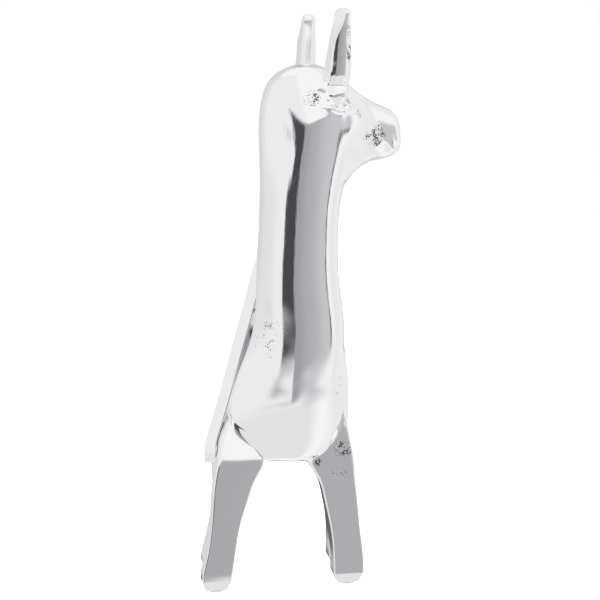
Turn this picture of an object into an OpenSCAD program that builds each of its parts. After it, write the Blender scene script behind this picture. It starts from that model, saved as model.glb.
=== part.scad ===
// Standing llama figure in polished cast aluminium.
// The body is cast hollow in two halves, and the ears, legs and tail are separate castings fixed to it.
// +X is the way the body faces, +Y is its left side and +Z is up. All lengths are millimetres.

/* [Body] */
// Wall thickness of the two hollow halves
wall = 5; // [4:0.5:6]
// Turn of the head towards the figure's left, degrees
head_yaw = 23; // [0:1:30]
// Radius of the casting hole under the belly
core_hole_r = 8; // [6:0.5:10]

/* [Ears] */
// Thickness of an ear at its middle
ear_t = 10; // [7:0.5:11]
// Turn of each ear's flat face towards the back of the head, degrees
ear_turn = 25; // [0:5:40]

/* [Legs] */
// Distance of each hind foot's centre from the middle plane
hind_stance = 21; // [20:1:26]
// Distance of each front foot's centre from the middle plane
front_stance = 19; // [18:1:24]
// How much further forward the left legs stand than the right ones
left_stride = 4; // [0:1:6]
// Corner radius of the leg's rounded rectangular section
leg_corner_r = 2.5; // [1.5:0.5:3]

/* [Tail] */
// Thickness of the tail plate
tail_t = 6; // [4:0.5:6]

/* [Foot pads] */
// Radius of the felt pad under each foot
pad_r = 5; // [4:0.5:6]
// Thickness of the felt pad
pad_t = 1; // [0.8:0.2:1]

/* [Hidden] */

// The two sides of the figure
RIGHT = -1;
LEFT = 1;
// The model's own zero, moved to the middle of its bounding box
centre = [14.64, 5.94];
// The vertical axis that the head turns about
neck_x = 10;
// Gap that keeps a round piece clear of a faceted hole
fit_gap = 0.05;
// Points round half of a body section, and rings between two stations
half_points = 14;
rings_per_station = 2;

// Sections of the body, from the casting hole up the neck and round to the muzzle. Each section is a
// plane that holds a front point, a back point and the sideways direction, and its outline wraps
// three circles: one at the front, one at the back and the wide one between them.
// [front x, front z, back x, back z, half width, front radius, back radius,
//  place of the wide circle from back to front, share of the head's turn]
STATIONS = [
    [18, 82, 2, 82, 8, 8, 8, 0.5, 0],
    [28, 83.2, -16, 83.2, 17, 15, 14, 0.55, 0],
    [37, 87.5, -27, 87.5, 22, 16, 14, 0.56, 0],
    [42.7, 96, -34, 96, 26, 15, 12, 0.56, 0],
    [45.8, 112, -38, 112, 29, 14, 9, 0.56, 0],
    [45.7, 134, -35, 134, 29.6, 13, 9.5, 0.56, 0],
    [43.8, 152, -28.5, 152, 29.6, 13, 12, 0.55, 0],
    [41.2, 172, -22, 172, 29, 15, 14, 0.54, 0],
    [38.8, 192, -19, 192, 27.8, 18, 18, 0.52, 0],
    [37, 212, -17, 212, 26.5, 22, 22, 0.505, 0],
    [36, 232, -15.4, 232, 25.5, 25, 25, 0.5, 0.05],
    [37, 250, -14.4, 254, 25, 22, 22, 0.5, 0.25],
    [42, 263, -14.3, 279, 24.6, 18, 22, 0.49, 0.6],
    [50, 271, -15, 301, 24.6, 15, 22, 0.47, 0.9],
    [57, 276.2, -13, 322, 24.3, 14, 21, 0.46, 1],
    [63, 279.3, -4.8, 337.3, 24, 14, 20, 0.47, 1],
    [68, 281.3, 17.5, 345, 22, 14, 19, 0.5, 1],
    [72, 282, 37, 339.6, 18.5, 14, 15, 0.55, 1],
    [76, 283.2, 53, 329.2, 15.6, 13, 13.5, 0.58, 1],
    [80, 284.8, 65, 323.2, 14.6, 13.5, 12.5, 0.6, 1],
    [84, 286.5, 76.5, 319.2, 13.8, 13, 12, 0.6, 1],
    [88, 289.3, 84, 316.3, 12.8, 11.5, 11, 0.55, 1],
    [89.5, 293, 87.5, 312.8, 10, 8.5, 8.5, 0.5, 1],
];
LAST = len(STATIONS) - 1;

// Level sections of an ear in the head's own frame: [z, x, distance from the middle plane, width, thickness]
EAR = [
    [313, 27, 16, 12, 10],
    [319, 27.5, 17.5, 16, 12],
    [325, 28, 18.5, 17, 12],
    [329, 28.5, 18.5, 16.5, 10],
    [337, 29.5, 19, 17.5, ear_t + 2],
    [346, 30, 19.5, 17, ear_t + 1],
    [356, 30.5, 20, 15.5, ear_t],
    [366, 31, 20.5, 14, ear_t - 0.5],
    [374, 31.5, 21, 12.5, ear_t - 1],
    [378.5, 32, 21.2, 10.5, ear_t - 2],
    [380, 32, 21.3, 7, ear_t - 4],
];

// Sections of the right legs: [z, x, distance from the middle plane, length along x, thickness across]
HIND_LEG = [
    [pad_t, -47.5, hind_stance, 15, 12],
    [pad_t + 1.5, -47.5, hind_stance, 18.5, 15],
    [8, -47.2, hind_stance - 0.5, 19.6, 15],
    [22, -44.7, hind_stance - 2, 19, 15],
    [40, -41.3, hind_stance - 4.5, 19.2, 14.5],
    [58, -37.5, hind_stance - 7, 23.2, 14],
    [72, -33.8, hind_stance - 9, 28, 13],
    [84, -29.8, hind_stance - 10.5, 33, 12.5],
    [98, -30, hind_stance - 12, 27, 11],
    [116, -28.5, hind_stance - 13.5, 20, 9],
    [140, -22, hind_stance - 16, 10, 7],
];
FRONT_LEG = [
    [pad_t, 41.3, front_stance, 15.5, 12],
    [pad_t + 1.5, 41.3, front_stance, 19, 15],
    [8, 41.4, front_stance - 0.5, 20.3, 15],
    [22, 41.1, front_stance - 2, 20.2, 15],
    [40, 39.4, front_stance - 4, 20.2, 14.5],
    [58, 37, front_stance - 6, 22.3, 14],
    [72, 34.3, front_stance - 7.5, 25.6, 13.5],
    [84, 30.8, front_stance - 8.5, 32, 13],
    [98, 32.5, front_stance - 9.5, 24, 12.5],
    [114, 34.5, front_stance - 11, 16, 10],
    [132, 31, front_stance - 13.5, 10, 7],
];

// Outline of the tail plate's outer edge, top to bottom: [x, z]
TAIL = [[-13, 232], [-20, 208], [-26, 186], [-31.5, 166], [-37, 146], [-42.5, 126], [-48.5, 106],
        [-52.5, 88], [-52, 81.5 + tail_t / 2]];
// How far the plate reaches in from its outer edge
tail_depth = 24;

function lerp(a, b, t) = a + (b - a) * t;

function spline(a, b, c, d, t) =
    0.5 * (2 * b + (c - a) * t + (2 * a - 5 * b + 4 * c - d) * t * t + (3 * b - a - 3 * c + d) * t * t * t);

function station(u) =
    let (i = min(floor(u), LAST - 1))
    spline(STATIONS[max(i - 1, 0)], STATIONS[i], STATIONS[i + 1], STATIONS[min(i + 2, LAST)], u - i);

// The one of a section's circles that reaches furthest in a direction: [along the section, radius]
function circles(s, size, inset) =
    [[size - s[5], s[5] - inset], [s[6], s[6] - inset], [size * s[7], s[4] - inset]];
function reach(c, a) = c[0] * cos(a) + c[1];
function furthest(c, a) =
    let (ab = reach(c[0], a) > reach(c[1], a) ? c[0] : c[1]) reach(c[2], a) >= reach(ab, a) ? c[2] : ab;

function turned(p, yaw) =
    [neck_x + (p[0] - neck_x) * cos(yaw) - p[1] * sin(yaw), (p[0] - neck_x) * sin(yaw) + p[1] * cos(yaw), p[2]];

// Points of a ring, counted from the front point round by the left side
function ring(u, inset, from, to) =
    let (s = station(u), front = [s[0], s[1]], back = [s[2], s[3]], size = norm(front - back),
         along = (front - back) / size, rounds = circles(s, size, inset))
    [for (j = [from:to])
        let (a = 180 * j / half_points, c = furthest(rounds, a), p = back + along * (c[0] + c[1] * cos(a)))
        turned([p[0], c[1] * sin(a), p[1]], head_yaw * s[8])];

// Two triangles for each cell of a grid of points that starts at index first
function grid_faces(first, rings, width, closed, flip) =
    [for (i = [0:rings - 2], j = [0:(closed ? width - 1 : width - 2)])
        let (a = first + i * width + j, b = first + i * width + (j + 1) % width, c = b + width, d = a + width)
        each (flip ? [[a, b, c], [a, c, d]] : [[c, b, a], [d, c, a]])];

RINGS = LAST * rings_per_station + 1;
// The cavity runs from just over the casting hole to one wall short of the muzzle's end
cavity_from = 2.2;
cavity_to = LAST - 2.2;
hole_z = STATIONS[0][1];

function outer_ring(i, from, to) = ring(i / rings_per_station, 0, from, to);
function inner_ring(i, from, to) =
    i == 0
        ? [for (p = ring(0, 0, from, to)) [p[0], p[1], hole_z + wall + 1]]
        : ring(lerp(cavity_from, cavity_to, (i - 1) / (RINGS - 2)), wall, from, to);

// One hollow half of the body, neck and head, cut on the middle plane
module half_shell(side) {
    from = side == LEFT ? 0 : half_points;
    n = half_points + 1;
    points = concat([for (i = [0:RINGS - 1]) each outer_ring(i, from, from + half_points)],
                    [for (i = [0:RINGS - 1]) each inner_ring(i, from, from + half_points)]);
    inner = RINGS * n;
    last = (RINGS - 1) * n;
    seams = [for (i = [0:RINGS - 2]) let (o = i * n, p = inner + o, e = half_points)
             each [[p, p + n, o + n], [p, o + n, o],
                   [o + e, o + n + e, p + e], [o + n + e, p + n + e, p + e]]];
    hole = [for (j = [0:half_points - 1])
            each [[j + 1, inner + j + 1, inner + j], [j + 1, inner + j, j]]];
    ends = [[for (j = [half_points:-1:0]) last + j],
            [for (j = [0:half_points]) inner + last + j],
            [inner + last + half_points, last + half_points, last, inner + last]];
    polyhedron(points, concat(grid_faces(0, RINGS, n, false, false), grid_faces(inner, RINGS, n, false, true),
                              seams, hole, ends));
}

// The outer form of the body, solid, for cutting the castings that sit on it
module body_form() {
    width = 2 * half_points;
    points = [for (i = [0:RINGS - 1]) each outer_ring(i, 0, width - 1)];
    ends = [[for (j = [0:width - 1]) j], [for (j = [width - 1:-1:0]) (RINGS - 1) * width + j]];
    polyhedron(points, concat(grid_faces(0, RINGS, width, true, false), ends));
}

module on_centre() {
    translate([-centre[0], -centre[1], 0]) children();
}

module body_shell(side) {
    color("gainsboro") on_centre() half_shell(side);
}

module core_plug() {
    plug_r = core_hole_r * cos(90 / half_points) - fit_gap;
    color("darkgray") on_centre() translate([neck_x, 0, hole_z]) cylinder(r = plug_r, h = wall + 1, $fn = 64);
}

// A thin oval slice of an ear
module ear_slice(s) {
    translate([s[1], s[2], s[0]]) rotate([0, 0, ear_turn]) linear_extrude(0.05)
        scale([s[3] / 2, s[4] / 2]) circle(r = 1, $fn = 32);
}

module ear(side) {
    color("silver") on_centre() difference() {
        translate([neck_x, 0, 0]) rotate([0, 0, head_yaw]) translate([-neck_x, 0, 0]) scale([1, side, 1])
            for (i = [0:len(EAR) - 2]) {
                hull() {
                    ear_slice(EAR[i]);
                    ear_slice(EAR[i + 1]);
                }
            }
        body_form();
    }
}

module leg_slice(s) {
    translate([s[1], s[2], s[0]]) linear_extrude(0.05)
        offset(r = leg_corner_r, $fn = 24) square([s[3], s[4]] - 2 * [leg_corner_r, leg_corner_r], center = true);
}

module leg(sections, side) {
    color("silver") on_centre() difference() {
        translate([side == LEFT ? left_stride : 0, 0, 0]) scale([1, side, 1])
            for (i = [0:len(sections) - 2]) {
                hull() {
                    leg_slice(sections[i]);
                    leg_slice(sections[i + 1]);
                }
            }
        body_form();
    }
}

module tail() {
    color("silver") on_centre() difference() {
        for (i = [0:len(TAIL) - 2]) {
            hull() {
                for (p = [TAIL[i], TAIL[i + 1]]) {
                    translate([p[0] + tail_t / 2, 0, p[1]]) rotate([90, 0, 0])
                        cylinder(r = tail_t / 2, h = tail_t / 2, center = true, $fn = 24);
                    translate([p[0] + tail_t, 0, p[1]]) rotate([90, 0, 0])
                        cylinder(r = tail_t / 2, h = tail_t, center = true, $fn = 24);
                    translate([p[0] + tail_depth, 0, p[1]]) rotate([90, 0, 0])
                        cylinder(r = tail_t / 2, h = tail_t, center = true, $fn = 24);
                }
            }
        }
        body_form();
    }
}

module pad(section, side) {
    shift = side == LEFT ? left_stride : 0;
    color("lightgray") on_centre() translate([section[1] + shift, side * section[2], 0])
        cylinder(r = pad_r, h = pad_t, $fn = 48);
}

body_shell(RIGHT);  // body_shell_right
body_shell(LEFT);  // body_shell_left
core_plug();
ear(RIGHT);  // ear_right
ear(LEFT);  // ear_left
leg(FRONT_LEG, RIGHT);  // leg_front_right
leg(FRONT_LEG, LEFT);  // leg_front_left
leg(HIND_LEG, RIGHT);  // leg_hind_right
leg(HIND_LEG, LEFT);  // leg_hind_left
tail();
pad(FRONT_LEG[0], RIGHT);  // pad_front_right
pad(FRONT_LEG[0], LEFT);  // pad_front_left
pad(HIND_LEG[0], RIGHT);  // pad_hind_right
pad(HIND_LEG[0], LEFT);  // pad_hind_left
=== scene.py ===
"""Polished cast-aluminium llama figure: smooth skins around the CAD frame, studio and camera."""

import math

import bpy
import numpy as np
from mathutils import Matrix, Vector, noise


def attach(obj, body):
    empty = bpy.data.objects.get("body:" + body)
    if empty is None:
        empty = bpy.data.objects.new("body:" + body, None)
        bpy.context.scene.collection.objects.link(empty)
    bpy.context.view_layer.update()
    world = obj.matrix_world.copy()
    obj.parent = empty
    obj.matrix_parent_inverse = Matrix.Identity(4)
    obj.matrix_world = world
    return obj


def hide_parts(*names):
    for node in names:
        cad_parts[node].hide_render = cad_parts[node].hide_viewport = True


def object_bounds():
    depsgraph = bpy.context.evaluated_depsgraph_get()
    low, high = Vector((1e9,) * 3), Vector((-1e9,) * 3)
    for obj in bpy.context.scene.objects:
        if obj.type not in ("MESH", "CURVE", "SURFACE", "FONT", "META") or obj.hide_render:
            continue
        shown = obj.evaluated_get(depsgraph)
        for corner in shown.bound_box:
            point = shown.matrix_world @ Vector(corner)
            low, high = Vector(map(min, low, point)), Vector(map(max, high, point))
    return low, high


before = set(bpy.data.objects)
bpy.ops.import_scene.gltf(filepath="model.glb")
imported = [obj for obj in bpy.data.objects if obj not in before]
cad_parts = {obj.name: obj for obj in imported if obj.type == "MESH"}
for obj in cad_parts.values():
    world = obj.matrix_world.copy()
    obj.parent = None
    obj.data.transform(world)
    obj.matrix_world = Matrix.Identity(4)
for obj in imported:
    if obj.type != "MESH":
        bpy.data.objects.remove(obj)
CAD_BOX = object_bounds()

MM = 0.001
RIGHT, LEFT = -1, 1

# ---------------------------------------------------------------------------------------------
# Driving dimensions, in millimetres
# ---------------------------------------------------------------------------------------------
# The CAD's own values, but for the ears' turn
WALL = 5.0
HEAD_YAW = math.radians(23)
NECK_X = 10.0
HOLE_Z = 82.0
HIND_STANCE = 21.0
FRONT_STANCE = 19.0
LEFT_STRIDE = 4.0
PAD_T = 1.0
EAR_T = 10.0
EAR_TURN = math.radians(34)
# Where the middle of the CAD's bounding box lies in the frame that all dimensions here are given in
CENTRE = np.array([14.64, 5.94, 0.0])

# Body sections: each one's outline wraps six circles, two at its front, two at its back and two wide ones.
# [front x, front z, back x, back z, half width, front radius, back radius, places of the rear and of the
#  fore wide circle from back to front, distance aside of the front circles and of the back ones,
#  share of the head's turn]
STATIONS = np.array([
    [18, 82, 2, 82, 8, 8, 8, 0.5, 0.5, 0, 0, 0],
    [28, 83.2, -16, 83.2, 17, 15, 14, 0.55, 0.55, 0, 0, 0],
    [37, 87.5, -27, 87.5, 22, 16, 14, 0.56, 0.56, 0, 0, 0],
    [42.7, 96, -34, 96, 26, 15, 12, 0.56, 0.56, 0, 0, 0],
    [45.8, 112, -38, 112, 29, 14, 9, 0.56, 0.56, 0, 0, 0],
    [45.7, 134, -35, 134, 29.6, 13, 9.5, 0.56, 0.56, 0, 0, 0],
    [43.8, 152, -28.5, 152, 29.6, 13, 12, 0.55, 0.56, 0, 0, 0],
    [41.2, 172, -22, 172, 29, 15, 14, 0.54, 0.56, 0, 0, 0],
    [38.8, 192, -19, 192, 27.8, 18, 17, 0.52, 0.54, 0, 0, 0],
    [37, 212, -17, 212, 26.5, 22, 19, 0.515, 0.53, 0, 0, 0],
    [36, 232, -15.4, 232, 25.5, 23, 19, 0.525, 0.54, 0, 0, 0.05],
    [37, 250, -14.4, 254, 25, 21, 17, 0.525, 0.55, 0, 0, 0.25],
    [42, 263, -14.3, 279, 24.8, 18, 13, 0.515, 0.57, 0, 0, 0.6],
    [50, 271, -15, 301, 24.8, 16, 10, 0.5, 0.58, 0, 0, 0.9],
    [57, 276.2, -13, 322, 24.8, 17, 10, 0.47, 0.58, 0, 0, 1],
    [63, 279.3, -4.8, 337.3, 24.2, 17, 13, 0.46, 0.57, 0, 0, 1],
    [68, 281.3, 17.5, 345, 21.6, 15, 16, 0.47, 0.55, 0, 0, 1],
    [72, 282, 37, 339.6, 18.2, 14, 14, 0.53, 0.56, 0, 0, 1],
    [76, 283.2, 53, 329.2, 15.6, 8, 12, 0.56, 0.62, 5, 1, 1],
    [80, 284.8, 65, 323.2, 14.8, 6.5, 11, 0.56, 0.64, 8, 2, 1],
    [84, 286.5, 76.5, 319.2, 14.0, 6, 10, 0.54, 0.62, 7.8, 2.6, 1],
    [88, 289.3, 84, 316.3, 12.6, 6, 8.5, 0.52, 0.55, 6.4, 3, 1],
    [89.5, 293, 87.5, 312.8, 9.8, 6, 6, 0.5, 0.5, 3, 3, 1],
])
# The back of the neck and head takes only this share of the head's turn, the front takes all of it
BACK_TURN_SHARE = 0.15
# x from which the share grows, and x where it is whole
BACK_TURN_X = (0.0, 35.0)
# Shares of the muzzle's last section that close its end, and how far the end bulges
MUZZLE_CAP = (0.97, 0.93, 0.87, 0.78, 0.66, 0.5, 0.33, 0.16, 0.05)
MUZZLE_BULGE = 1.4
# The cavity's sections run from one of these stations to the other, above a floor over the casting hole
CAVITY_STATIONS = (3, -3)
CAVITY_FLOOR_Z = HOLE_Z + WALL + 1
# The last station whose section is level
LEVEL_STATION = 10

# [z, x, distance from the middle plane, length along x, thickness across, corner radius]
HIND_LEG = np.array([
    [PAD_T, -47.5, HIND_STANCE, 18.5, 15, 1.2],
    [8, -47.2, HIND_STANCE - 0.5, 19.6, 15, 1.2],
    [22, -44.7, HIND_STANCE - 2, 19, 15, 1.2],
    [40, -41.3, HIND_STANCE - 4.5, 19.2, 14.5, 1.3],
    [58, -37.5, HIND_STANCE - 7, 23.2, 14, 1.5],
    [72, -33.8, HIND_STANCE - 9, 28, 13, 2.0],
    [84, -29.8, HIND_STANCE - 10.8, 32, 12.4, 3.0],
    [90, -29.8, HIND_STANCE - 12.4, 30, 12, 3.5],
    [98, -30, HIND_STANCE - 14.2, 27, 10, 4.0],
    [114, -27.5, HIND_STANCE - 17.5, 17, 7, 3.0],
    [136, -21, HIND_STANCE - 19, 8, 5, 2.0],
])
FRONT_LEG = np.array([
    [PAD_T, 41.3, FRONT_STANCE, 19, 15, 1.2],
    [8, 41.4, FRONT_STANCE - 0.5, 20.3, 15, 1.2],
    [22, 41.1, FRONT_STANCE - 2, 20.2, 15, 1.2],
    [40, 39.4, FRONT_STANCE - 4, 20.2, 14.5, 1.3],
    [58, 37, FRONT_STANCE - 6, 22.3, 14, 1.4],
    [72, 34.3, FRONT_STANCE - 7.5, 25.6, 13.5, 1.8],
    [84, 30.8, FRONT_STANCE - 8.5, 31.5, 13, 2.5],
    [98, 32.5, FRONT_STANCE - 9.8, 24, 12.5, 3.0],
    [114, 34, FRONT_STANCE - 12, 15, 9, 3.0],
    [132, 30, FRONT_STANCE - 14.5, 9, 6, 2.2],
])

# Height of a foot's bevel, and how close the rows beside its edge lie
FOOT_BEVEL = 6.8
FOOT_EDGE = 0.35
# Rounding and bevel of a foot, from its sole up: [height, inset]
SOLE_ROUNDING = ((0, 4.2), (0, 3.2), (0.15, 2.7), (0.6, 2.35), (1.3, 2.1), (4.2, 0.95), (6.3, 0.18))
# Heights between which the left legs' stride fades out, and the lowest height of a fillet
STRIDE_FADE_Z = (55, 88)
FILLET_LOWEST_Z = 50
# How proud of the body a fillet ends
FILLET_RIDGE = 0.12

# Outer edge of the tail plate, bottom to top: [x, z, thickness at the edge]
TAIL = np.array([
    [-52.0, 81.5, 3.2],
    [-52.5, 88, 3.2],
    [-48.5, 106, 3.0],
    [-42.5, 126, 2.8],
    [-37, 146, 2.6],
    [-31.5, 166, 2.4],
    [-26, 186, 2.2],
    [-20, 208, 2.0],
    [-13, 232, 1.8],
])
# How far the plate reaches in, how far in its sides flare, and how steeply
TAIL_DEPTH = 20.0
TAIL_FLARE = 7.0
TAIL_SLOPE = 0.85
# Half the plate's thickness behind the flare, where it runs into the body
TAIL_ROOT = 2.4
# Rounded foot of the plate, from the middle out: [share of the lowest section, drop below it]
TAIL_CAP = ((0.6, 0.5), (0.93, 0.45), (0.97, 0.3))

# [z, x, distance from the middle plane, width, thickness] of an ear in the head's own frame
EAR = np.array([
    [313, 27, 16, 12, 10],
    [319, 27.5, 17.5, 16, 12.5],
    [325, 28, 18.5, 17, 12.5],
    [329, 28.5, 18.5, 16.5, 10.5],
    [337, 29.5, 19, 17.5, EAR_T + 2],
    [346, 30.2, 19.5, 16.6, EAR_T + 1],
    [356, 30.9, 20, 14.6, EAR_T],
    [366, 31.6, 20.5, 12.6, EAR_T - 0.5],
    [374, 32.3, 21, 10.8, EAR_T - 1],
    [378, 32.6, 21.2, 9.6, EAR_T - 2],
    [379.4, 32.6, 21.3, 7.5, EAR_T - 4],
])

# How much the left ear differs from the right one in each of EAR's columns after z: wider and thicker
LEFT_EAR_EXTRA = np.array([0, 0, 1.2, 2.0])
# Heights where the round root turns into the bevelled blade
EAR_BLADE_Z = (331.5, 333.0)
# The ground waist under the blade: share taken off, height, half breadth
EAR_WAIST = (0.10, 330.2, 1.3)
# Shares of the ear's top section that close it, and how far the top bulges
EAR_CAP = (0.9, 0.65, 0.3, 0.08)
EAR_BULGE = 0.4
# Heights of the ear's rows: root, step to the blade, blade
EAR_HEIGHTS = np.concatenate([
    np.linspace(EAR[0, 0], 328, 20),
    np.linspace(328.4, 335, 26),
    np.linspace(335.6, EAR[-1, 0], 64),
])

# Rough weld round an ear's root: the root's centre, the weld's height, and distances where it fades out
EAR_ROOT = (27, 18.5, 325)
WELD_HEIGHT = 1.5
WELD_FADE = (10.5, 16.0)
# The lip ground under the weld: height, distance from the root, half breadth, heights where it fades out
LIP_HEIGHT = 1.3
LIP_DISTANCE = 13.2
LIP_BREADTH = 1.5
LIP_FADE_Z = (313, 319)

# Unevenness left by casting and polishing: [amount, size, shift], or [amount, size] where pieces differ
BODY_WAVES = ((0.13, 34.0, 3.0), (0.035, 11.0, 40.0))
WELD_WAVES = ((1.0, 3.4, 90.0), (0.55, 1.9, 61.0))
LEG_WAVE = (0.2, 22.0)
TAIL_WAVE = (0.2, 24.0, 71.0)
EAR_WAVE = (0.22, 12.0)
EAR_ROOT_WAVE = (0.6, 4.0)

# How finely the smooth skins are cut
BODY_RINGS = 280
BODY_HALF_POINTS = 72
LEVEL_RINGS = 500
LEG_SAMPLES = 200
LEG_ROWS = 90
TAIL_ROWS = 130
CORNER_POINTS = 7
CORNER_EDGE = 0.35

SIDE_WORD = {RIGHT: "right", LEFT: "left"}


# ---------------------------------------------------------------------------------------------
# Curves and grids
# ---------------------------------------------------------------------------------------------
def smooth_curve(at, table):
    """A function that passes a natural cubic spline through table's rows at the parameters at."""
    n = len(at)
    step = np.diff(at)
    rise = np.diff(table, axis=0) / step[:, None]
    system = np.zeros((n, n))
    system[0, 0] = system[-1, -1] = 1
    target = np.zeros_like(table)
    for i in range(1, n - 1):
        system[i, i - 1 : i + 2] = step[i - 1], 2 * (step[i - 1] + step[i]), step[i]
        target[i] = 6 * (rise[i] - rise[i - 1])
    bend = np.linalg.solve(system, target)

    def curve(t):
        t = np.atleast_1d(np.asarray(t, float))
        i = np.clip(np.searchsorted(at, t) - 1, 0, n - 2)
        h = step[i][:, None]
        a = (at[i + 1] - t)[:, None]
        b = (t - at[i])[:, None]
        return (
            (bend[i] * a**3 + bend[i + 1] * b**3) / (6 * h)
            + (table[i] / h - bend[i] * h / 6) * a
            + (table[i + 1] / h - bend[i + 1] * h / 6) * b
        )

    return curve


def grid_normals(points, closed):
    """Unit normals of a grid of points, rows by columns, from its neighbours' differences."""
    if closed:
        across = np.roll(points, -1, axis=1) - np.roll(points, 1, axis=1)
    else:
        across = np.gradient(points, axis=1)
    along = np.gradient(points, axis=0)
    normals = np.cross(across, along)
    size = np.linalg.norm(normals, axis=2, keepdims=True)
    return normals / np.maximum(size, 1e-9)


def waves(points, amount, size, shift):
    """A slow hand-polished unevenness in millimetres at each point, shift keeps pieces apart."""
    flat = points.reshape(-1, 3) / size + shift
    values = [noise.noise(Vector(p)) for p in flat]
    return np.array(values).reshape(points.shape[:-1] + (1,)) * amount


def smoothstep(low, high, value):
    t = np.clip((value - low) / (high - low), 0, 1)
    return t * t * (3 - 2 * t)


def make_mesh(name, points, faces, normals=None):
    """A smooth Blender object from millimetre points in the CAD's own frame."""
    mesh = bpy.data.meshes.new(name)
    mesh.from_pydata([tuple(p) for p in (points - CENTRE) * MM], [], faces)
    mesh.validate()
    mesh.update()
    mesh.shade_smooth()
    if normals is not None:
        mesh.normals_split_custom_set_from_vertices([tuple(n) for n in normals])
    obj = bpy.data.objects.new(name, mesh)
    bpy.context.scene.collection.objects.link(obj)
    return obj


def grid_faces(rows, columns, closed, first=0, flip=False):
    faces = []
    for i in range(rows - 1):
        for j in range(columns if closed else columns - 1):
            a = first + i * columns + j
            b = first + i * columns + (j + 1) % columns
            quad = (a, b, b + columns, a + columns)
            faces.append(quad[::-1] if flip else quad)
    return faces


def ringed_mesh(name, points, side=LEFT):
    """An object from closed rings of points with both ends filled. Right-hand rings run the other way."""
    count, columns = points.shape[:2]
    faces = grid_faces(count, columns, True, flip=side == RIGHT)
    first = list(range(columns))
    final = [(count - 1) * columns + j for j in first]
    faces.append(first[::-1] if side == LEFT else first)
    faces.append(final if side == LEFT else final[::-1])
    return make_mesh(name, points.reshape(-1, 3), faces)


def add_piece(obj, material, slot, *nodes):
    obj.data.materials.append(material)
    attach(obj, "root")
    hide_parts(*nodes)


# ---------------------------------------------------------------------------------------------
# Body, neck and head
# ---------------------------------------------------------------------------------------------
def body_curve():
    """The smooth curve through all stations, and its parameter at each of them."""
    gaps = np.linalg.norm(np.diff(STATIONS[:, :4], axis=0), axis=1) ** 0.5
    at = np.concatenate([[0], np.cumsum(gaps)])
    return smooth_curve(at, STATIONS), at


BODY, BODY_AT = body_curve()


def turned(points, yaw):
    """Points turned about the neck's upright axis by yaw, an angle for all or one for each."""
    c, s = np.cos(yaw), np.sin(yaw)
    x, y = points[..., 0] - NECK_X, points[..., 1]
    return np.stack([NECK_X + x * c - y * s, x * s + y * c, points[..., 2]], axis=-1)


# Normal directions round half a section, from its front to its back
TURN = np.linspace(0, math.pi, 361)
# How many directions on each side the rounding between the circles mixes
BLEND = 15


def supports(rows, inset=0.0):
    """How far each section reaches in the TURN directions from its back point."""
    size = np.linalg.norm(rows[:, 0:2] - rows[:, 2:4], axis=1)
    places = (size - rows[:, 5], rows[:, 6], size * rows[:, 7], size * rows[:, 8])
    asides = (rows[:, 9], rows[:, 10], 0 * size, 0 * size)
    radii = (rows[:, 5], rows[:, 6], rows[:, 4], rows[:, 4])
    reach = np.max([
        c[:, None] * np.cos(TURN) + e[:, None] * np.sin(TURN) + r[:, None] - inset
        for c, e, r in zip(places, asides, radii)
    ], axis=0)
    reach = np.concatenate([reach[:, BLEND:0:-1], reach, reach[:, -2 : -BLEND - 2 : -1]], axis=1)
    kernel = np.hanning(2 * BLEND + 3)[1:-1]
    return np.array([np.convolve(row, kernel / kernel.sum(), mode="valid") for row in reach])


def half_outlines(rows, inset):
    """Round half of each section: distance along it from its back point, and distance aside."""
    reach = supports(rows, inset)
    slope = np.gradient(reach, TURN, axis=1)
    slope[:, [0, -1]] = 0
    along = reach * np.cos(TURN) - slope * np.sin(TURN)
    aside = reach * np.sin(TURN) + slope * np.cos(TURN)
    steps = np.hypot(np.diff(along, axis=1), np.diff(aside, axis=1))
    way = np.concatenate([np.zeros((len(rows), 1)), np.cumsum(steps, axis=1)], axis=1)
    way = way / way[:, -1:] + 0.5 * TURN / math.pi
    stops = np.linspace(0, 1.5, BODY_HALF_POINTS + 1)
    return (
        np.array([np.interp(stops, w, a) for w, a in zip(way, along)]),
        np.array([np.interp(stops, w, a) for w, a in zip(way, aside)]),
    )


def body_rings(at, inset=0.0):
    """Whole rings of the body at curve parameters at, from the front point round by the left side."""
    rows = BODY(at)
    front, back = rows[:, [0, 1]], rows[:, [2, 3]]
    ways = (front - back) / np.linalg.norm(front - back, axis=1, keepdims=True)
    along, aside = half_outlines(rows, inset)
    along = np.concatenate([along, along[:, -2:0:-1]], axis=1)
    aside = np.concatenate([aside, -aside[:, -2:0:-1]], axis=1)
    points = np.stack([
        back[:, 0:1] + ways[:, 0:1] * along,
        aside,
        back[:, 1:2] + ways[:, 1:2] * along,
    ], axis=-1)
    share = BACK_TURN_SHARE + (1 - BACK_TURN_SHARE) * smoothstep(*BACK_TURN_X, points[..., 0])
    return turned(points, HEAD_YAW * rows[:, 11:12] * share)


def near_ears(points):
    """Distance of each point from the nearer ear's root."""
    roots = turned(np.array([EAR_ROOT] * 2) * [[1, LEFT, 1], [1, RIGHT, 1]], HEAD_YAW)
    return np.min([np.linalg.norm(points - root, axis=-1) for root in roots], axis=0)


def ear_welds(points):
    """Height of the rough weld round each ear's root, and of the lip ground under it."""
    away = near_ears(points)[..., None]
    lumps = sum(waves(points, *wave) for wave in WELD_WAVES)
    rough = WELD_HEIGHT * lumps * (1 - smoothstep(*WELD_FADE, away))
    ring = np.exp(-(((away - LIP_DISTANCE) / LIP_BREADTH) ** 2))
    lip = LIP_HEIGHT * ring * (1 - smoothstep(*LIP_FADE_Z, points[..., 2:3]))
    return rough + lip


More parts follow.
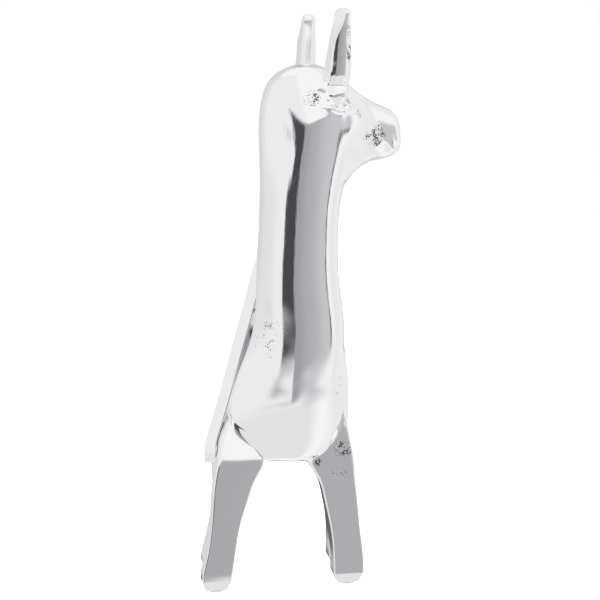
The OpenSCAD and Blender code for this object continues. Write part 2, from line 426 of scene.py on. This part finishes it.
def body_surface():
    """The whole outer surface as one grid of rings, with its normals."""
    points = body_rings(np.linspace(BODY_AT[0], BODY_AT[-1], BODY_RINGS))
    last = points[-1]
    centre = last.mean(axis=0)
    forward = np.cross(last[0] - centre, last[BODY_HALF_POINTS // 2] - centre)
    forward /= np.linalg.norm(forward)
    cap = [centre + (last - centre) * s + forward * MUZZLE_BULGE * math.sqrt(1 - s * s) for s in MUZZLE_CAP]
    points = np.concatenate([points, np.array(cap)])
    normals = grid_normals(points, True)
    calm = smoothstep(HOLE_Z, HOLE_Z + 12, points[..., 2:3])
    uneven = sum(waves(points, *wave) for wave in BODY_WAVES)
    points = points + normals * (uneven * calm + ear_welds(points))
    return points, grid_normals(points, True)


def half_shell(side, outer, normals, material):
    """One half of the casting: its skin, its cavity and the flat faces that join them on the middle plane."""
    n = BODY_HALF_POINTS + 1
    start = 0 if side == LEFT else BODY_HALF_POINTS
    columns = [(start + j) % (2 * BODY_HALF_POINTS) for j in range(n)]
    skin, skin_normals = outer[:, columns], normals[:, columns]
    rows = len(skin)
    lowest, foremost = CAVITY_STATIONS
    at = np.linspace(BODY_AT[lowest], BODY_AT[foremost], rows - 1)
    hole = skin[0].copy()
    hole[:, 2] = CAVITY_FLOOR_Z
    cavity = np.concatenate([hole[None], body_rings(at, WALL)[:, columns]])
    points = np.concatenate([skin.reshape(-1, 3), cavity.reshape(-1, 3)])
    inner = rows * n
    last = (rows - 1) * n
    faces = grid_faces(rows, n, False) + grid_faces(rows, n, False, inner, True)
    for i in range(rows - 1):
        a, b = i * n, (i + 1) * n
        faces.append((a, b, inner + b, inner + a))
        faces.append((inner + a + n - 1, inner + b + n - 1, b + n - 1, a + n - 1))
    for j in range(n - 1):
        faces.append((j, inner + j, inner + j + 1, j + 1))
    faces.append([last + j for j in range(n)])
    faces.append([inner + last + j for j in range(n - 1, -1, -1)])
    faces.append((inner + last, last, last + n - 1, inner + last + n - 1))
    inside = -grid_normals(cavity, False).reshape(-1, 3)
    both = np.concatenate([skin_normals.reshape(-1, 3), inside])
    shell = make_mesh(f"body_half_{SIDE_WORD[side]}", points, faces, both)
    add_piece(shell, material, "polished_aluminium", f"body_shell_{SIDE_WORD[side]}")


# ---------------------------------------------------------------------------------------------
# The body as a form to join castings to. Below the neck its sections are level.
# ---------------------------------------------------------------------------------------------
LEVEL_ROWS = BODY(np.linspace(BODY_AT[0], BODY_AT[LEVEL_STATION], LEVEL_RINGS))
# Every fourth direction is enough here
LEVEL_REACH = supports(LEVEL_ROWS)[:, ::4]
LEVEL_TURN = TURN[::4]


def outside(points):
    """How many millimetres each point is outside the body, measured level, negative inside."""
    level = np.interp(points[..., 2], LEVEL_ROWS[:, 1], np.arange(len(LEVEL_ROWS)))
    low = np.minimum(level.astype(int), len(LEVEL_ROWS) - 2)
    part = (level - low)[..., None]
    reach = LEVEL_REACH[low] * (1 - part) + LEVEL_REACH[low + 1] * part
    back = LEVEL_ROWS[low, 2] + (LEVEL_ROWS[low + 1, 2] - LEVEL_ROWS[low, 2]) * part[..., 0]
    forth = (points[..., 0] - back)[..., None] * np.cos(LEVEL_TURN)
    gap = (forth + np.abs(points[..., 1])[..., None] * np.sin(LEVEL_TURN) - reach).max(axis=-1)
    below = HOLE_Z - points[..., 2]
    return np.where(below > 0, np.hypot(np.maximum(gap, 0), below), gap)


def slope_of_body(points):
    """Direction out of the body at each point, and how fast outside() grows that way."""
    reach = 0.3
    moves = np.eye(3) * reach
    rise = [(outside(points + move) - outside(points - move)) / (2 * reach) for move in moves]
    rise = np.stack(rise, axis=-1)
    size = np.maximum(np.linalg.norm(rise, axis=-1, keepdims=True), 0.05)
    return rise / size, size


def onto_body(points, proud=0.0):
    """Points moved to the body's surface, and proud millimetres out of it."""
    for _ in range(8):
        normal, steepness = slope_of_body(points)
        points = points - normal * outside(points)[..., None] / np.maximum(steepness, 0.3) * 0.9
    return points + slope_of_body(points)[0] * proud


# ---------------------------------------------------------------------------------------------
# Legs
# ---------------------------------------------------------------------------------------------
def rounded_box(length, thickness, radius):
    """Outline of a rounded rectangle, counter-clockwise, with a point close to each end of each arc."""
    near = CORNER_EDGE
    radius = min(radius, length / 2 - near - 0.1, thickness / 2 - near - 0.1)
    points = []
    for k in range(4):
        turn = k * math.pi / 2
        c, s = math.cos(turn), math.sin(turn)
        half = (length / 2, thickness / 2) if k % 2 == 0 else (thickness / 2, length / 2)
        flat = half[1] - radius
        stops = [0, 0.45 * flat, 0.8 * flat, flat - near, flat]
        side = [(half[0], y) for y in stops]
        corner = [
            (half[0] - radius + radius * math.cos(a), flat + radius * math.sin(a))
            for a in np.linspace(0, math.pi / 2, CORNER_POINTS)[1:-1]
        ]
        top = half[0] - radius
        back = [(x, half[1]) for x in (top, top - near, 0.8 * top, 0.45 * top)]
        points += [(x * c - y * s, x * s + y * c) for x, y in side + corner + back]
    return np.array(points)


def leg_outline(curve, z, inset=0.0):
    x, y, length, thickness, radius = curve(z)[0]
    ring = rounded_box(length - 2 * inset, thickness - 2 * inset, max(radius - inset * 0.3, 0.6))
    return np.column_stack([ring[:, 0] + x, ring[:, 1] + y, np.full(len(ring), z)])


def join_rows(feet, roots, outward, radius, steps=9):
    """Rows of a fillet from the leg to the body: feet are on the leg, roots where it enters the body."""
    normal = slope_of_body(roots)[0]
    way = outward + np.array([0, 0, 0.8])
    way = way - normal * (way * normal).sum(axis=-1, keepdims=True)
    way /= np.maximum(np.linalg.norm(way, axis=-1, keepdims=True), 1e-6)
    edge = onto_body(roots + way * radius, FILLET_RIDGE)
    last = onto_body(roots + way * (radius + 1.3), -0.3)
    stops = np.linspace(0, 1, steps)[1:]
    rows = [feet * (1 - t) ** 2 + roots * 2 * t * (1 - t) + edge * t * t for t in stops]
    crest = (edge + last) / 2 + normal * FILLET_RIDGE * 0.45
    return rows + [crest, last]


def leg(place, table, side, material, fillet, seed):
    """One leg from its sole to inside the body, with a fillet where it enters."""
    curve = smooth_curve(table[:, 0], table[:, 1:])
    ankle_z = PAD_T + FOOT_BEVEL
    heights = np.concatenate([
        [ankle_z - FOOT_EDGE, ankle_z, ankle_z + FOOT_EDGE],
        np.linspace(ankle_z + 1, table[-1, 0] - 1, LEG_SAMPLES),
    ])
    tall = np.array([leg_outline(curve, z) for z in heights])
    outward = tall - tall.mean(axis=1, keepdims=True)
    outward[..., 2] = 0
    outward /= np.linalg.norm(outward, axis=2, keepdims=True)
    inside = outside(tall) < 0
    first_in = np.where(inside.any(axis=0), inside.argmax(axis=0), len(heights) - 1)
    roots = smooth_round(heights[first_in])
    feet = smooth_round(np.maximum(heights[first_in] - fillet, FILLET_LOWEST_Z))
    start = ankle_z + FOOT_EDGE
    stops = np.linspace(0, 1, LEG_ROWS) ** 0.9
    rows = [along_columns(tall, heights, start + (feet - start) * t) for t in stops]
    root_points = along_columns(tall, heights, roots)
    rows += join_rows(rows[-1], root_points, along_columns(outward, heights, roots), fillet)
    core = rows[-1].mean(axis=0)
    rows += [core + (rows[-1] - core) * s for s in (0.8, 0.4)]
    ankle = [leg_outline(curve, z) for z in (ankle_z - 0.12, ankle_z + 0.1)]
    base = [leg_outline(curve, PAD_T + h, inset) for h, inset in SOLE_ROUNDING]
    points = np.array(base + ankle + rows)
    normals = grid_normals(points, True)
    calm = smoothstep(PAD_T + 4, PAD_T + 14, points[..., 2:3])
    points = points + normals * calm * waves(points, *LEG_WAVE, seed)
    if side == LEFT:
        points[..., 0] += LEFT_STRIDE * (1 - smoothstep(*STRIDE_FADE_Z, points[..., 2]))
    points[..., 1] *= side
    obj = ringed_mesh(f"{place}_leg_{SIDE_WORD[side]}", points, side)
    add_piece(obj, material, "polished_aluminium", f"leg_{place}_{SIDE_WORD[side]}")


def smooth_round(values, passes=10):
    for _ in range(passes):
        values = (np.roll(values, 1) + values * 2 + np.roll(values, -1)) / 4
    return values


def along_columns(grid, heights, at):
    """The point of each column of a grid of rows at heights, at its own height."""
    columns = range(grid.shape[1])
    return np.array([[np.interp(at[j], heights, grid[:, j, k]) for k in range(3)] for j in columns])


# ---------------------------------------------------------------------------------------------
# Tail
# ---------------------------------------------------------------------------------------------
def tail_outline(thick):
    """A level section of the tail: a narrow round outer edge, then sides that flare inwards."""
    r = thick / 2
    turn = math.atan(TAIL_SLOPE)
    nose = [(r - r * math.cos(a), r * math.sin(a)) for a in np.linspace(0, math.pi / 2 - turn, 8)]
    start = nose[-1]
    depths = np.linspace(start[0] + 0.3, TAIL_FLARE, 9)
    flare = [(d, start[1] + (d - start[0]) * TAIL_SLOPE) for d in depths]
    edge = flare[-1]
    root = [(TAIL_FLARE + 0.2, edge[1] - 0.4), (TAIL_FLARE + 0.6, TAIL_ROOT), (TAIL_DEPTH, TAIL_ROOT)]
    half = nose + flare + root + [(TAIL_DEPTH, TAIL_ROOT / 2)]
    return np.array(half[1:] + [(d, -y) for d, y in half[:0:-1]] + [(half[0][0], 0)])[::-1]


def tail(material):
    """The tail's plate, from its rounded foot up to where it runs into the back of the neck."""
    curve = smooth_curve(TAIL[:, 1], TAIL[:, [0, 2]])
    bottom, top = TAIL[0, 1], TAIL[-1, 1]
    rows = []
    for z in np.concatenate([[bottom + 0.5, bottom + 1.2], np.linspace(bottom + 2, top, TAIL_ROWS)]):
        x, thick = curve(z)[0]
        ring = tail_outline(thick)
        rows.append(np.column_stack([ring[:, 0] + x, ring[:, 1], np.full(len(ring), z)]))
    low = rows[0]
    middle = low.mean(axis=0)
    cap = []
    for share, drop in TAIL_CAP:
        ring = middle + (low - middle) * share
        ring[:, 2] = low[:, 2] - drop
        cap.append(ring)
    points = np.array(cap + rows)
    normals = grid_normals(points, True)
    points = points + normals * waves(points, *TAIL_WAVE)
    obj = ringed_mesh("tail_plate", points)
    add_piece(obj, material, "polished_aluminium", "tail")


# ---------------------------------------------------------------------------------------------
# Ears
# ---------------------------------------------------------------------------------------------
def ear_outline(z, width, thick):
    """A level section of an ear: a leaf-shaped face with a flat bevel each side, and a round back."""
    blade = float(smoothstep(*EAR_BLADE_Z, z))
    # Where the flat bevels end, from -1 to 1 across: towards the tip the left one takes over the face
    left = -0.56 + 0.98 * float(smoothstep(350, 377, z)) ** 1.5
    right = 0.58 + 0.14 * float(smoothstep(362, 378, z))
    across = np.concatenate([
        np.linspace(-1, left, 12)[:-1],
        [left - 0.02],
        np.linspace(left + 0.02, right - 0.02, 24),
        [right + 0.02],
        np.linspace(right, 1, 10)[1:],
    ])
    oval = np.sqrt(np.maximum(1 - across**2, 0))
    knots = [-1, left, right, 1]
    bevel = np.interp(across, knots, [0, math.sqrt(1 - left**2), math.sqrt(1 - right**2), 0])
    out = np.where((across > left) & (across < right), oval, bevel) * blade + oval * (1 - blade)
    back = np.linspace(0, math.pi, 36)[1:-1]
    return np.concatenate([
        np.column_stack([across[::-1] * width / 2, out[::-1] * thick / 2]),
        np.column_stack([-np.cos(back) * width / 2, -np.sin(back) * thick / 2]),
    ])


def ear(side, material, seed):
    """One ear, from inside the head to its tip, made on the left and mirrored for the right."""
    curve = smooth_curve(EAR[:, 0], EAR[:, 1:])
    c, s = math.cos(EAR_TURN), math.sin(EAR_TURN)
    rows = []
    taken, waist_z, breadth = EAR_WAIST
    for z in EAR_HEIGHTS:
        x, y, width, thick = curve(z)[0] + (LEFT_EAR_EXTRA if side == LEFT else 0)
        waist = 1 - taken * math.exp(-(((z - waist_z) / breadth) ** 2))
        across, out = ear_outline(z, width * waist, thick * waist).T
        flat = [x + across * c - out * s, y + across * s + out * c]
        rows.append(np.column_stack([*flat, np.full(len(out), z)]))
    points = np.array(rows)
    top = points[-1]
    centre = top.mean(axis=0)
    cap = [centre + (top - centre) * q + [0, 0, EAR_BULGE * math.sqrt(1 - q * q)] for q in EAR_CAP]
    points = np.concatenate([points, np.array(cap)])
    normals = grid_normals(points, True)
    rough = (1 - smoothstep(324, 331, points[..., 2:3])) * waves(points, *EAR_ROOT_WAVE, seed + 7)
    points = points + normals * (waves(points, *EAR_WAVE, seed) + rough)
    points[..., 1] *= side
    points = turned(points, HEAD_YAW)
    obj = ringed_mesh(f"ear_blade_{SIDE_WORD[side]}", points, side)
    add_piece(obj, material, "polished_aluminium", f"ear_{SIDE_WORD[side]}")


# ---------------------------------------------------------------------------------------------
# Materials
# ---------------------------------------------------------------------------------------------
class Nodes:
    """A short way to write a node tree. An input is given by its name, or as i and its number."""

    def __init__(self, tree):
        tree.nodes.clear()
        self.tree = tree

    def add(self, kind, **inputs):
        node = self.tree.nodes.new(kind)
        for key, value in inputs.items():
            self.set(node, key, value)
        return node

    def set(self, node, key, value):
        socket = node.inputs[int(key[1:])] if key[0] == "i" and key[1:].isdigit() else node.inputs[key]
        if isinstance(value, bpy.types.NodeSocket):
            self.tree.links.new(value, socket)
        else:
            socket.default_value = value

    def maths(self, operation, a, b=0.0):
        node = self.add("ShaderNodeMath", i0=a, i1=b)
        node.operation = operation
        return node.outputs[0]

    def ramp(self, value, low, high, out_low=0.0, out_high=1.0):
        node = self.add("ShaderNodeMapRange", i0=value, i1=low, i2=high, i3=out_low, i4=out_high)
        node.interpolation_type = "SMOOTHSTEP"
        return node.outputs[0]

    def band(self, value, low, high, soft):
        rise = self.ramp(value, low - soft, low + soft)
        return self.maths("MULTIPLY", rise, self.ramp(value, high - soft, high + soft, 1.0, 0.0))

    def mix(self, share, first, second):
        return self.add("ShaderNodeMixRGB", i0=share, i1=first, i2=second).outputs[0]

    def noise(self, place, scale, detail, **inputs):
        return self.add("ShaderNodeTexNoise", Vector=place, Scale=scale, Detail=detail, **inputs).outputs[0]


# Colours of the polished metal and of the bottoms of its pits
METAL_COLOUR = (0.945, 0.945, 0.95, 1)
PIT_COLOUR = (0.16, 0.16, 0.17, 1)
# Depths of the polishing streaks and of the pits, in millimetres
STREAK_DEPTH = 0.02
PIT_DEPTH = 0.35
# Fine across and long upright, as cycles per metre
STREAK_SCALE = (1500.0, 1500.0, 45.0)
SMUDGE_SCALE = 60.0
PIT_SCALE = 900.0
PATCH_SCALE = 220.0


def new_material(name):
    mat = bpy.data.materials.new(name)
    mat.use_nodes = True
    n = Nodes(mat.node_tree)
    return mat, n, n.add("ShaderNodeTexCoord").outputs["Object"]


def pitting(n, place, pit_places):
    """How strongly each point lies in a casting pit, from 0 to 1."""
    cells = n.add("ShaderNodeTexVoronoi", Vector=place, Scale=PIT_SCALE).outputs["Distance"]
    mask = 0.0
    for centre, radius, share in pit_places:
        to = n.add("ShaderNodeVectorMath", i0=place, i1=tuple((np.array(centre) - CENTRE) * MM))
        to.operation = "DISTANCE"
        near = n.ramp(to.outputs["Value"], radius * MM * 0.3, radius * MM, share, 0.0)
        mask = n.maths("MAXIMUM", mask, near)
    # A slow noise thins the pits out in some places and adds a few in others
    patchy = n.ramp(n.noise(place, PATCH_SCALE, 3.0), 0.35, 0.75, -0.30, 0.16)
    level = n.maths("ADD", mask, patchy)
    limit = n.maths("MULTIPLY", n.maths("MAXIMUM", level, 0.0), 0.85)
    pit = n.ramp(n.maths("SUBTRACT", cells, limit), -0.10, 0.02, 1.0, 0.0)
    return n.maths("MULTIPLY", pit, n.ramp(level, 0.0, 0.08))


def polished_aluminium(name, pit_places, dullness=0.0):
    """Mirror polish with upright streaks, smudges and patches of casting pits."""
    mat, n, place = new_material(name)
    streak_place = n.add("ShaderNodeMapping", Vector=place, Scale=STREAK_SCALE).outputs[0]
    streak = n.noise(streak_place, 1.0, 4.0)
    smudge = n.ramp(n.noise(place, SMUDGE_SCALE, 4.0), 0.3, 0.8, 0.035 + dullness, 0.085 + dullness)
    pit = pitting(n, place, pit_places)
    streaks = n.maths("MULTIPLY", streak, STREAK_DEPTH)
    height = n.maths("SUBTRACT", streaks, n.maths("MULTIPLY", pit, PIT_DEPTH))
    bump = n.add("ShaderNodeBump", Strength=1.0, Distance=MM, Height=height)
    rough = n.maths("ADD", smudge, n.maths("MULTIPLY", pit, 0.3))
    shader = n.add("ShaderNodeBsdfPrincipled", Metallic=1.0, Roughness=rough)
    n.set(shader, "Base Color", n.mix(pit, METAL_COLOUR, PIT_COLOUR))
    n.set(shader, "Normal", bump.outputs[0])
    n.add("ShaderNodeOutputMaterial", Surface=shader.outputs[0])
    return mat


def plain_finish(name, dark, light, scale, roughness, depth, metallic):
    """A rough finish whose colour and height follow one fine noise."""
    mat, n, place = new_material(name)
    grain = n.noise(place, scale, 6.0, Roughness=0.7)
    bump = n.add("ShaderNodeBump", Strength=1.0, Distance=depth * MM, Height=grain)
    shader = n.add("ShaderNodeBsdfPrincipled", Metallic=metallic, Roughness=roughness)
    n.set(shader, "Base Color", n.mix(grain, dark, light))
    n.set(shader, "Normal", bump.outputs[0])
    n.add("ShaderNodeOutputMaterial", Surface=shader.outputs[0])
    return mat


def finish_cad_nodes(as_cast, felt):
    """The plug and the pads keep their CAD shapes and get their own finishes."""
    for name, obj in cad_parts.items():
        if name == "core_plug" or name.startswith("pad"):
            obj.data.materials.clear()
            obj.data.materials.append(as_cast if name == "core_plug" else felt)


# ---------------------------------------------------------------------------------------------
# Studio and camera
# ---------------------------------------------------------------------------------------------
VIEW_AZIMUTH = math.radians(-10)
VIEW_ELEVATION = math.radians(6)
VIEW_DISTANCE = 0.85
FRAME_HEIGHT = 0.404
SENSOR_WIDTH = 36
# How far the view's aim lies from the middle of the CAD's box, in metres
AIM_SHIFT = Vector((-0.001, 0, -0.0015))


def camera():
    data = bpy.data.cameras.new("camera")
    data.sensor_width = SENSOR_WIDTH
    data.lens = SENSOR_WIDTH * VIEW_DISTANCE / FRAME_HEIGHT
    data.clip_start = 0.01
    obj = bpy.data.objects.new("camera", data)
    bpy.context.scene.collection.objects.link(obj)
    low, high = (Vector(c) for c in CAD_BOX)
    aim = (low + high) / 2 + AIM_SHIFT
    back = Vector((
        math.sin(VIEW_AZIMUTH) * math.cos(VIEW_ELEVATION),
        -math.cos(VIEW_AZIMUTH) * math.cos(VIEW_ELEVATION),
        math.sin(VIEW_ELEVATION),
    ))
    obj.location = aim + back * VIEW_DISTANCE
    obj.rotation_euler = back.to_track_quat("Z", "Y").to_euler()
    bpy.context.scene.camera = obj


# Panels that the metal mirrors, each laid over the ones before it: [from bearing, to bearing, lowest,
# highest elevation, softness of the bearings, colour]. All angles are degrees, bearings go round from the
# camera's side towards the figure's head.
PANELS = [
    (-185, -44, -60, 60, 16.0, (0.80, 0.80, 0.81)),
    (-185, -110, -60, 60, 22.0, (0.70, 0.70, 0.71)),
    (-130, -40, -60, -5, 10.0, (0.72, 0.72, 0.73)),
    (-74, -4, -60, 60, 9.0, (0.88, 0.88, 0.89)),
    (-75, 55, -95, -12, 20.0, (0.80, 0.80, 0.81)),
    (-10, 88, -10, 17, 2.0, (0.58, 0.58, 0.60)),
    (25, 88, -13, -7, 20.0, (0.57, 0.57, 0.59)),
    (-40, 50, -10, 17, 25.0, (0.44, 0.44, 0.455)),
    (-40, 12, -10, 17, 14.0, (0.36, 0.36, 0.37)),
    (-60, -9, -10, 60, 0.5, (0.88, 0.88, 0.89)),
    (-43, -9, -6.2, 5, 1.6, (0.41, 0.41, 0.42)),
    (-42, -9, -3.4, 8, 1.6, (0.065, 0.065, 0.08)),
    (-33, -9, 6, 17, 1.6, (0.065, 0.065, 0.08)),
    (84, 88, -10, 3, 0.8, (0.16, 0.16, 0.17)),
    (100, 181, -60, 60, 12.0, (0.84, 0.84, 0.85)),
    (120, 150, -40, 60, 14.0, (0.88, 0.88, 0.89)),
    (156, 168, -60, 60, 4.0, (0.6, 0.6, 0.61)),
    (-173, -159, -60, -16, 1.5, (0.12, 0.12, 0.13)),
    (-181, -172, -60, 60, 3.0, (0.5, 0.5, 0.51)),
    (172, 181, -60, 60, 3.0, (0.5, 0.5, 0.51)),
]
# What the metal mirrors between the panels, and what the camera itself sees
STUDIO_LIGHT = (0.96, 0.96, 0.965, 1)
BACKDROP = (1, 1, 1, 1)
# Softness of the panels' lower and upper edges, in degrees
RISE_SOFTNESS = 2
FLOOR_HALF = 6.0


def studio_world():
    """A white studio for the camera, and the grey and dark panels that the metal mirrors."""
    world = bpy.data.worlds.new("studio")
    bpy.context.scene.world = world
    world.use_nodes = True
    n = Nodes(world.node_tree)
    way = n.add("ShaderNodeTexCoord").outputs["Generated"]
    x, y, z = n.add("ShaderNodeSeparateXYZ", Vector=way).outputs
    camera_x, camera_y = math.sin(VIEW_AZIMUTH), -math.cos(VIEW_AZIMUTH)
    towards = n.maths("ADD", n.maths("MULTIPLY", x, camera_x), n.maths("MULTIPLY", y, camera_y))
    aside = n.maths("ADD", n.maths("MULTIPLY", x, -camera_y), n.maths("MULTIPLY", y, camera_x))
    bearing = n.maths("MULTIPLY", n.maths("ARCTAN2", aside, towards), 180 / math.pi)
    rise = n.maths("MULTIPLY", n.maths("ARCSINE", z), 180 / math.pi)
    light = STUDIO_LIGHT
    for start, end, low, high, soft, colour in PANELS:
        share = n.maths("MULTIPLY", n.band(bearing, start, end, soft), n.band(rise, low, high, RISE_SOFTNESS))
        light = n.mix(share, light, colour + (1,))
    seen = n.add("ShaderNodeLightPath").outputs["Is Camera Ray"]
    light = n.mix(seen, light, BACKDROP)
    background = n.add("ShaderNodeBackground", Color=light, Strength=1.0)
    n.add("ShaderNodeOutputWorld", Surface=background.outputs[0])


def floor():
    """A plain white floor that the metal doesn't mirror."""
    mesh = bpy.data.meshes.new("floor")
    corners = [(x * FLOOR_HALF, y * FLOOR_HALF, 0) for x, y in ((-1, -1), (1, -1), (1, 1), (-1, 1))]
    mesh.from_pydata(corners, [], [(0, 1, 2, 3)])
    obj = bpy.data.objects.new("floor", mesh)
    bpy.context.scene.collection.objects.link(obj)
    mat = bpy.data.materials.new("floor_white")
    mat.use_nodes = True
    shader = mat.node_tree.nodes["Principled BSDF"]
    shader.inputs["Base Color"].default_value = (0.9, 0.9, 0.9, 1)
    shader.inputs["Roughness"].default_value = 0.9
    shader.inputs["Specular IOR Level"].default_value = 0.0
    shader.inputs["Emission Color"].default_value = (1, 1, 1, 1)
    shader.inputs["Emission Strength"].default_value = 0.85
    mesh.materials.append(mat)
    obj.visible_glossy = False


def soft_light(name, spot, aim, size, power):
    data = bpy.data.lights.new(name, "AREA")
    data.size = size
    data.energy = power
    obj = bpy.data.objects.new(name, data)
    bpy.context.scene.collection.objects.link(obj)
    obj.location = spot
    obj.rotation_euler = (Vector(spot) - Vector(aim)).to_track_quat("Z", "Y").to_euler()
    obj.visible_glossy = False


# ---------------------------------------------------------------------------------------------
# Build
# ---------------------------------------------------------------------------------------------
# Where casting pits show: [centre, radius in millimetres, density]
PITS = [
    ((67, 6.5, 298), 13, 0.75),
    ((60, 3, 297), 10, 0.5),
    ((51.8, -6.1, 315), 12, 0.34),
    ((17, -19, 322), 10, 0.6),
    ((26, -19, 312), 7, 0.5),
    ((44, -14, 352), 9, 0.7),
    ((43, -15, 366), 8, 0.7),
    ((-11, -20, 168), 22, 0.36),
    ((-14, -17, 176), 10, 0.5),
    ((40, -16, 132), 16, 0.28),
    ((38.5, -17, 90), 11, 0.7),
    ((36, -17, 76), 10, 0.45),
    ((21.8, -16, 82), 5, 0.9),
    ((10, -18, 83), 4, 0.8),
    ((-19.4, -3.2, 184), 3.4, 1.6),
    ((-18.5, -3.2, 188), 3.0, 1.5),
    ((-7.9, -17.5, 309), 1.2, 1.4),
]
# Extra roughness of the left ear, which is less polished
LEFT_EAR_DULLNESS = 0.16


def build():
    camera()
    studio_world()
    floor()
    soft_light("top_light", spot=(0.1, -0.2, 1.6), aim=(0, 0, 0), size=1.5, power=26)
    polished = polished_aluminium("polished_aluminium", PITS)
    as_cast = plain_finish(
        "as_cast_aluminium", (0.38, 0.38, 0.39, 1), (0.66, 0.66, 0.67, 1),
        scale=900, roughness=0.55, depth=0.15, metallic=1.0,
    )
    felt = plain_finish(
        "felt", (0.5, 0.5, 0.5, 1), (0.72, 0.72, 0.71, 1),
        scale=2500, roughness=0.95, depth=0.2, metallic=0.0,
    )
    finish_cad_nodes(as_cast, felt)
    outer, normals = body_surface()
    for side in (RIGHT, LEFT):
        half_shell(side, outer, normals, polished)
    for place, table, fillet, seeds in (
        ("hind", HIND_LEG, 3.5, {RIGHT: 11.0, LEFT: 17.0}),
        ("front", FRONT_LEG, 4.0, {RIGHT: 23.0, LEFT: 29.0}),
    ):
        for side in (RIGHT, LEFT):
            leg(place, table, side, polished, fillet, seeds[side])
    tail(polished)
    ear(RIGHT, polished, 5.0)
    ear(LEFT, polished_aluminium("duller_aluminium", PITS, LEFT_EAR_DULLNESS), 9.0)
    view = bpy.context.scene.view_settings
    view.view_transform = "Standard"
    view.look = "None"


build()
